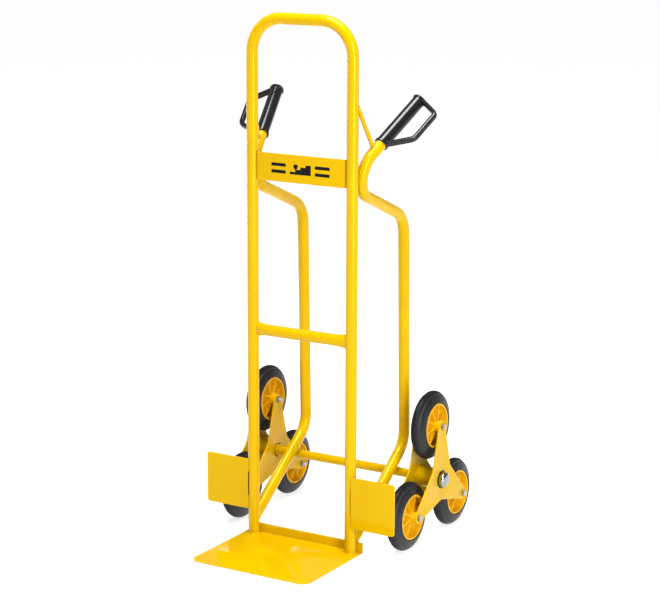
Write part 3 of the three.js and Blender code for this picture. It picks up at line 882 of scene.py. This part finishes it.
class HANDTRUCK_OT_axle(PieceOperator, bpy.types.Operator):
    """Turn the axle with its collars, washers and domed caps"""

    bl_idname = "hand_truck.axle"
    bl_label = "Axle"

    def execute(self, context):
        end, r = AXLE_HIGH.x / MM, AXLE_R
        bore, inner, outer = r + PLAY, INNER_PLATE[0], OUTER_PLATE[1]
        at_axle = Matrix.Translation(AXLE)
        bar = turned("axle_bar", [(r - 1, -end), (r, 1 - end), (r, end - 1), (r - 1, end)])
        bar.data.transform(at_axle)
        settle(bar, "frame", ["axle"], "tube_coat")
        collar = ring("right_collar_ring", 13.5, bore, inner - 6, inner + 3.5, 0.8)
        washer = ring("right_washer_ring", 15, bore, outer - 0.7, CAP_X - PLAY, 0.25)
        cap = turned("right_cap_dome", self.dome(17, 5.4, 7.6), 96)
        for piece, node, slot, finish in (
            (collar, "axle_collar", "paint", "tube_coat"),
            (washer, "axle_washer", "zinc", "zinc"),
            (cap, "axle_cap", "chrome", "chrome"),
        ):
            piece.data.transform(at_axle)
            settle_pair(piece, "frame", node, finish)
        return {"FINISHED"}

    @staticmethod
    def dome(radius, rim, rise):
        """A cap's profile: a straight rim and a dome that rises from it."""
        profile = [(radius - 0.5, CAP_X), (radius, CAP_X + 0.5), (radius, CAP_X + rim)]
        for a in (math.radians(degrees) for degrees in range(12, 90, 6)):
            profile += [(radius * math.cos(a) ** 0.55, CAP_X + rim + rise * math.sin(a))]
        return profile


class HANDTRUCK_OT_star_plates(PieceOperator, bpy.types.Operator):
    """Cut the three-armed plates of both stars"""

    bl_idname = "hand_truck.star_plates"
    bl_label = "Star Plates"

    def execute(self, context):
        for node, (start, end), hub_hole in (
            ("outer_plate", OUTER_PLATE, 20),
            ("inner_plate", INNER_PLATE, 16),
        ):
            plane = Matrix.Translation((start * MM, AXLE.y, AXLE.z)) @ ACROSS.to_4x4()
            right = flat_plate(f"right_{node}_steel", self.outline(), plane, ((end - start) * MM, 0, 0))
            holes = [(AXLE, hub_hole)] + [(WHEEL_AT[f"right_{arm}_wheel"], BOLT_BORE) for arm in ARMS]
            for place, radius in holes:
                clear()
                bpy.ops.mesh.primitive_cylinder_add(
                    vertices=64, radius=radius * MM, depth=20 * MM,
                    location=(start * MM, place.y, place.z), rotation=ACROSS.to_euler())
                combine(right, begin("drill"), "DIFFERENCE")
            soften(right, 0.7 * MM, segments=3)
            finish_mesh(right)
            settle_pair(right, "{side}_star", node, "star_coat")
        return {"FINISHED"}

    @staticmethod
    def outline():
        """Round tips at the bolts and a blunt hollow corner between two arms."""
        tip_r, waist, waist_r = 13 * MM, 47 * MM, 16 * MM
        points = []
        for degrees in ARMS.values():
            tip = Matrix.Rotation(math.radians(degrees), 2) @ Vector((STAR_ARM, 0))
            hollow = Matrix.Rotation(math.radians(degrees - 60), 2) @ Vector((waist + waist_r, 0))
            inward = degrees - 60 + 180
            points += arc(hollow, waist_r, inward + 17, inward - 17, 6)
            points += arc(tip, tip_r, degrees - 78, degrees + 78, 22)
        return points


class HANDTRUCK_OT_star_cores(PieceOperator, bpy.types.Operator):
    """Turn the hub tubes and the bushes that run on the axle"""

    bl_idname = "hand_truck.star_cores"
    bl_label = "Star Cores"

    def execute(self, context):
        start, end, outer = INNER_PLATE[1] + PLAY, OUTER_PLATE[0] - PLAY, OUTER_PLATE[1]
        bore, bush_r, bush_length = AXLE_R + PLAY, 19.7, 16
        hub = ring("right_core_tube", 23, 20, start, end)
        outer_bush = ring("right_outer_bearing", bush_r, bore, end - bush_length, outer - 1, 0.8)
        inner_bush = ring("right_inner_bearing", bush_r, bore, start, start + bush_length, 0.8)
        for piece, node, slot, finish in (
            (hub, "hub_tube", "paint", "star_coat"),
            (outer_bush, "outer_bush", "black_plastic", "bush_plastic"),
            (inner_bush, "inner_bush", "black_plastic", "bush_plastic"),
        ):
            piece.data.transform(Matrix.Translation(AXLE))
            settle_pair(piece, "{side}_star", node, finish)
        return {"FINISHED"}


class HANDTRUCK_OT_wheel_bolts(PieceOperator, bpy.types.Operator):
    """Make the wheel bolts, their lock nuts and their spacer sleeves"""

    bl_idname = "hand_truck.wheel_bolts"
    bl_label = "Wheel Bolts"

    def execute(self, context):
        inner, outer = INNER_PLATE[0], OUTER_PLATE[1]
        middle = (inner + outer) / 2
        models = {
            "bolt": self.bolt(inner, outer),
            "nut": self.nut(inner),
            "sleeve": ring("sleeve", 6, BOLT_BORE, middle - BOSS_HALF, middle + BOSS_HALF, 0.3, 40),
        }
        for node, model in models.items():
            for side, sign, wheel, at in wheels():
                placed = Matrix.Translation((0, at.y, at.z)) @ Matrix.Scale(sign, 4, (1, 0, 0))
                piece = copy_of(model, f"{wheel}_{node}_part", placed)
                settle(piece, f"{side}_star", [f"{wheel}_{node}"], "zinc")
            bpy.data.objects.remove(model)
        return {"FINISHED"}

    @staticmethod
    def bolt(inner, outer):
        """A hexagon bolt: a chamfered head, a plain shank and the thread at its end."""
        head = hex_body("bolt", HEX_FLATS, outer + PLAY, outer + 5.6)
        pitch, root_r, crest_r, shank_r = 1.25, 3.4, 3.95, 4
        thread_end, thread_start = inner - 11, inner + 2
        profile = [(root_r - 0.1, thread_end)]
        for k in range(int((thread_start - thread_end - 1) / pitch)):
            x = thread_end + 0.6 + k * pitch
            profile += [(root_r, x), (crest_r, x + 0.5 * pitch), (crest_r, x + 0.62 * pitch)]
        profile += [(shank_r, thread_start + 0.5), (shank_r, outer + 1.5)]
        return finish_mesh(combine(head, turned("shank", profile, 32), "UNION"))

    @staticmethod
    def nut(inner):
        """A hexagon nut with the round collar that holds its nylon insert."""
        nut = hex_body("nut", HEX_FLATS, inner - 6.2, inner - PLAY)
        collar = [(4.9, inner - 8.3), (5.5, inner - 8.1), (5.9, inner - 7.5), (5.9, inner - 5.5)]
        combine(nut, turned("nut_collar", collar, 48), "UNION")
        combine(nut, turned("nut_bore", [(BOLT_BORE, inner - 9), (BOLT_BORE, inner + 1)], 32), "DIFFERENCE")
        combine(nut, turned("nut_seat", [(5.1, inner - 7.9), (5.1, inner - 6.4)], 32), "DIFFERENCE")
        finish_mesh(nut)
        insert = ring("insert", 5.05, 4.2, inner - 7.85, inner - 6.45, 0.15, 32)
        for piece, finish in ((nut, "zinc"), (insert, "nylon_insert")):
            piece.data.materials.append(finish_named(finish))
        return join([nut, insert])


class HANDTRUCK_OT_tyres(PieceOperator, bpy.types.Operator):
    """Mould the six solid rubber tyres"""

    bl_idname = "hand_truck.tyres"
    bl_label = "Tyres"

    def execute(self, context):
        model = turned("tyre", self.section(), 112, solid=False)
        bpy.context.view_layer.update()
        layer = model.data.uv_layers.new(name="RadiusAcross")
        for corner, loop in zip(layer.data, model.data.loops):
            at = model.data.vertices[loop.vertex_index].co
            corner.uv = (math.hypot(at.y, at.z), at.x)
        for _, _, wheel, at in wheels():
            tyre = copy_of(model, f"{wheel}_tyre_ring", Matrix.Translation(at))
            settle(tyre, f"{wheel}_wheel", [f"{wheel}_tyre"], "tyre_rubber")
        bpy.data.objects.remove(model)
        return {"FINISHED"}

    @staticmethod
    def section():
        """Bead, sidewall with a raised line, shoulder and a grooved crown, mirrored to the other side."""
        side = [
            (50.3, 16.4), (50.7, 17.6), (51.6, 18.3), (53.2, 18.3), (54.2, 17.5), (54.8, 16.4), (57, 15.7),
            (60, 14.9), (63, 13.7), (66, 12.2), (68.3, 10.9), (69.2, 10.8), (69.8, 11.1), (70.4, 10.7),
            (70.9, 9.8), (71.2, 9.0),
        ]
        half_crown, drop = 8.6, 4.4
        edge, depth = 0.6, 1.0
        grooves = sizes().tread_grooves
        gap = 2 * half_crown / (grooves + 1)

        def crown(x):
            return WHEEL_R - drop * (abs(x) / half_crown) ** 2.2

        tread = []
        for k in range(grooves + 2):
            x = half_crown - k * gap
            r = crown(x)
            if 0 < k <= grooves:
                floor, slope = r - depth, edge * 0.55
                tread += [(r, x + edge), (floor, x + slope), (floor, x - slope), (r, x - edge)]
            else:
                tread += [(r, x)]
            if k <= grooves:
                tread += [(crown(x - gap / 2), x - gap / 2)]
        return two_sided(side, tread)


class HANDTRUCK_OT_wheel_hubs(PieceOperator, bpy.types.Operator):
    """Mould the six ribbed wheel hubs"""

    bl_idname = "hand_truck.wheel_hubs"
    bl_label = "Wheel Hubs"

    def execute(self, context):
        boss = BOSS_HALF
        half = [
            (6.3, boss - 0.5), (6.8, boss), (12, boss), (12.6, boss - 0.6), (13.2, 9), (14.2, 5), (16, 3.4),
            (20, 2.8), (40, 2.8), (43, 3.6), (44.6, 6), (45.2, 14.5), (45.6, 17.2), (46.4, 18), (48.8, 18),
            (49.6, 17.4), (50, 16.4),
        ]
        hub = turned("hub", two_sided(half), 96, solid=False)
        combine(hub, self.ribs(28 * MM), "UNION")
        soften(hub, 0.45 * MM, segments=2, limit=40)
        finish_mesh(hub)
        for _, _, wheel, at in wheels():
            piece = copy_of(hub, f"{wheel}_hub_moulding", Matrix.Translation(at))
            settle(piece, f"{wheel}_wheel", [f"{wheel}_hub"], "hub_plastic")
        bpy.data.objects.remove(hub)
        return {"FINISHED"}

    @staticmethod
    def ribs(middle):
        """The radial ribs, lower and thinner at the rim, with their middles on a radius."""
        rib = block("rib", (0, middle, 0), (34 * MM, 36.5 * MM, 3.4 * MM))
        for vertex in rib.data.vertices:
            outer = vertex.co.y > middle
            vertex.co.x *= 0.62 if outer else 1.0
            vertex.co.z *= 0.8 if outer else 1.15
        count, first = sizes().hub_ribs, 18
        turns = [math.radians(first + 360 / count * k) for k in range(count)]
        ribs = [copy_of(rib, "rib_copy", Matrix.Rotation(turn, 4, "X")) for turn in turns]
        bpy.data.objects.remove(rib)
        return join(ribs)


class HANDTRUCK_OT_welds(PieceOperator, bpy.types.Operator):
    """Lay the rippled beads of the feet, crossbar, name plate, guards, axle and waists"""

    bl_idname = "hand_truck.welds"
    bl_label = "Welds"

    def execute(self, context):
        size = sizes().weld_size
        seam_low, seam_high = GUARD_SEAM
        beads = []
        for sign in SIDES.values():
            foot = Vector((sign * POST_X, POST_Y, POST_FOOT))
            bar_end = Vector((sign * (POST_X - TUBE_R + 0.4 * MM), POST_Y, BAR_Z))
            name_end = Vector((sign * NAME_HIGH.x, NAME_HIGH.y - 1.5 * MM, 0))
            guard = Vector((sign * GUARD_LOW.x, GUARD_LOW.y + 4.2 * MM, 0))
            axle = [behind(sign * x, 185.8, 146.2) for x in (119.2, 139.2)]
            outside, inside = behind(sign * 133.5, 15.5, 0), behind(sign * 120, 14.5, 0)
            beads += [
                self.foot_bead(foot, TUBE_R, size),
                self.saddle_bead(bar_end, sign, 8.4 * MM, 15.8 * MM, size),
                self.upright_bead(name_end, NAME_LOW.z + 3 * MM, NAME_HIGH.z - 3 * MM, size * 0.8),
                self.upright_bead(guard, seam_high + 1 * MM, GUARD_HIGH.z - 1 * MM, size * 0.9),
                self.upright_bead(guard, GUARD_LOW.z + 1 * MM, seam_low - 1 * MM, size * 0.9),
                self.straight_bead(*axle, size * 1.9),
                self.upright_bead(outside, 794 * MM, 838 * MM, size),
                self.upright_bead(inside, 796 * MM, 836 * MM, size),
            ]
        welds = join(beads)
        welds.name = "frame_welds"
        settle(welds, "frame", [], "weld_coat")
        return {"FINISHED"}

    @staticmethod
    def smoothed(piece):
        """Rounds the ripples of a bead."""
        apply_modifier(piece, "SUBSURF", levels=1, render_levels=1)
        return finish_mesh(piece, 80)

    def foot_bead(self, centre, radius, size):
        """A bead lying flat round the foot of a post."""
        clear()
        bpy.ops.mesh.primitive_torus_add(
            location=centre, major_segments=54, minor_segments=8, major_radius=radius, minor_radius=size)
        bead = begin("bead")
        for vertex in bead.data.vertices:
            away = vertex.co - centre
            angle = math.atan2(away.y, away.x)
            vertex.co.z = centre.z + away.z * (0.9 + 0.16 * math.sin(angle * 18))
        return self.smoothed(bead)

    def saddle_bead(self, centre, sign, half_depth, half_height, size):
        """A bead round the crossbar's end, wrapped onto the post."""
        clear()
        thickness = 0.14
        bpy.ops.mesh.primitive_torus_add(
            location=(0, 0, 0), rotation=ACROSS.to_euler(), major_segments=60, minor_segments=8,
            major_radius=1, minor_radius=thickness)
        bead = begin("bead")
        for vertex in bead.data.vertices:
            angle = math.atan2(vertex.co.z, vertex.co.y)
            reach = (math.hypot(vertex.co.y, vertex.co.z) - 1) * size / thickness
            ripple = 0.92 + 0.14 * math.sin(angle * 20)
            y = math.cos(angle) * (half_depth + reach)
            z = math.sin(angle) * (half_height + reach)
            wrap = TUBE_R - math.sqrt(max(0, TUBE_R ** 2 - y ** 2))
            x = vertex.co.x * size / thickness * ripple + sign * wrap
            vertex.co = centre + Vector((x, y, z))
        return self.smoothed(bead)

    def upright_bead(self, foot, low, high, size):
        """A straight bead between two heights."""
        return self.straight_bead(Vector((foot.x, foot.y, low)), Vector((foot.x, foot.y, high)), size)

    @staticmethod
    def straight_bead(start, end, size):
        """A bead between two points, with ripples a little under its own width apart."""
        pitch, width, length = 1.6, size / MM, (end - start).length / MM
        count = max(4, round(length / pitch))
        profile = [(width * 0.35, 0)]
        for k in range(count):
            x = length * (k + 0.5) / count
            profile += [(width * 0.9, x - 0.3 * pitch), (width, x), (width * 0.93, x + 0.3 * pitch)]
        profile += [(width * 0.35, length)]
        bead = turned("bead", profile, 12)
        place = (end - start).to_track_quat("X", "Z").to_matrix().to_4x4()
        place.translation = start
        bead.data.transform(place)
        return finish_mesh(bead, 80)


class HANDTRUCK_OT_stage(PieceOperator, bpy.types.Operator):
    """Set the pale floor, the soft lights and the camera"""

    bl_idname = "hand_truck.stage"
    bl_label = "Stage"

    def execute(self, context):
        self.camera()
        self.floor()
        self.lights()
        return {"FINISHED"}

    @staticmethod
    def camera():
        """A long lens, front right and above, looking at the middle of the posts."""
        azimuth, pitch, roll = (math.radians(a) for a in (30.9033, 12.6533, 0.2252))
        target, distance = Vector((0.02804, -0.00598, 0.53903)), 4.41941
        back = Vector((
            math.sin(azimuth) * math.cos(pitch), -math.cos(azimuth) * math.cos(pitch), math.sin(pitch)))
        right = Vector((math.cos(azimuth), math.sin(azimuth), 0))
        up = back.cross(right)
        axes = [
            right * math.cos(roll) + up * math.sin(roll),
            up * math.cos(roll) - right * math.sin(roll),
            back,
        ]
        data = bpy.data.cameras.new("view")
        data.lens = 111.346
        data.sensor_width = 36
        camera = bpy.data.objects.new("view", data)
        bpy.context.collection.objects.link(camera)
        turn = Matrix(axes).transposed().to_4x4()
        camera.matrix_world = Matrix.Translation(target + back * distance) @ turn
        bpy.context.scene.camera = camera

    @staticmethod
    def floor():
        """A plane that reaches far past the camera's view."""
        clear()
        bpy.ops.mesh.primitive_grid_add(x_subdivisions=8, y_subdivisions=8, size=80)
        floor = begin("studio_floor")
        floor.data.materials.append(finish_named("studio_floor"))

    @staticmethod
    def lights():
        """A strip for the long highlights, a rim strip, a top box, an even sun and a pale surround."""
        for name, place, width, height, power in (
            ("key_strip", (2.6, -1.6, 1.3), 0.7, 2.6, 84),
            ("rim_strip", (-3.0, 0.7, 1.2), 0.3, 2.4, 20),
            ("top_box", (0.0, -0.35, 3.6), 1.5, 1.5, 142),
            ("window_near", (-1.9, 3.2, 1.41), 0.34, 0.075, 0.14),
            ("window_far", (-2.53, 3.3, 1.61), 0.76, 0.32, 0.9),
        ):
            data = bpy.data.lights.new(name, "AREA")
            data.shape = "RECTANGLE"
            data.size, data.size_y = width, height
            data.energy = power
            aim_lamp(data, place)
        data = bpy.data.lights.new("even_sun", "SUN")
        data.energy = 1.1
        data.angle = math.radians(40)
        aim_lamp(data, (0.4, -1.2, 3.0))
        world = bpy.data.worlds.new("studio")
        world.use_nodes = True
        tree = world.node_tree
        background = tree.nodes["Background"]
        background.inputs["Color"].default_value = (1, 1, 1, 1)
        seen = tree.nodes.new("ShaderNodeLightPath").outputs["Is Camera Ray"]
        level = tree.nodes.new("ShaderNodeMapRange")
        level.inputs["To Min"].default_value = 0.27
        level.inputs["To Max"].default_value = 1.0
        tree.links.new(seen, level.inputs["Value"])
        tree.links.new(level.outputs["Result"], background.inputs["Strength"])
        bpy.context.scene.world = world
        bpy.context.scene.view_settings.view_transform = "Standard"


def aim_lamp(data, place):
    """Puts a lamp at a place and turns it to the middle of the truck."""
    lamp = bpy.data.objects.new(data.name, data)
    bpy.context.collection.objects.link(lamp)
    aim = Vector((0, 0, 0.55)) - Vector(place)
    lamp.matrix_world = Matrix.Translation(place) @ aim.to_track_quat("-Z", "Y").to_matrix().to_4x4()


OPERATORS = [
    HANDTRUCK_OT_main_hoop, HANDTRUCK_OT_crossbar, HANDTRUCK_OT_name_plate, HANDTRUCK_OT_toe_plate,
    HANDTRUCK_OT_wheel_guards, HANDTRUCK_OT_guard_seams, HANDTRUCK_OT_side_tubes,
    HANDTRUCK_OT_brace_rods, HANDTRUCK_OT_grips, HANDTRUCK_OT_axle, HANDTRUCK_OT_star_plates,
    HANDTRUCK_OT_star_cores, HANDTRUCK_OT_wheel_bolts, HANDTRUCK_OT_tyres, HANDTRUCK_OT_wheel_hubs,
    HANDTRUCK_OT_welds, HANDTRUCK_OT_stage,
]


class HANDTRUCK_PT_pieces(bpy.types.Panel):
    """Lists the truck's pieces in the sidebar"""

    bl_label = "Hand Truck"
    bl_idname = "HANDTRUCK_PT_pieces"
    bl_space_type = "VIEW_3D"
    bl_region_type = "UI"
    bl_category = "Hand Truck"

    def draw(self, context):
        for group in (context.scene.hand_truck_sizes, context.scene.hand_truck_colours):
            for key in group.bl_rna.properties.keys():
                if key not in {"rna_type", "name"}:
                    self.layout.prop(group, key)
        for operator in OPERATORS:
            self.layout.operator(operator.bl_idname)


CLASSES = [HandTruckSizes, HandTruckColours, *OPERATORS, HANDTRUCK_PT_pieces]


def register():
    for cls in CLASSES:
        bpy.utils.register_class(cls)
    bpy.types.Scene.hand_truck_sizes = bpy.props.PointerProperty(type=HandTruckSizes)
    bpy.types.Scene.hand_truck_colours = bpy.props.PointerProperty(type=HandTruckColours)


def unregister():
    del bpy.types.Scene.hand_truck_colours
    del bpy.types.Scene.hand_truck_sizes
    for cls in reversed(CLASSES):
        bpy.utils.unregister_class(cls)


def main():
    register()
    for operator in OPERATORS:
        group, name = operator.bl_idname.split(".")
        getattr(getattr(bpy.ops, group), name)()


if __name__ == "__main__":
    main()
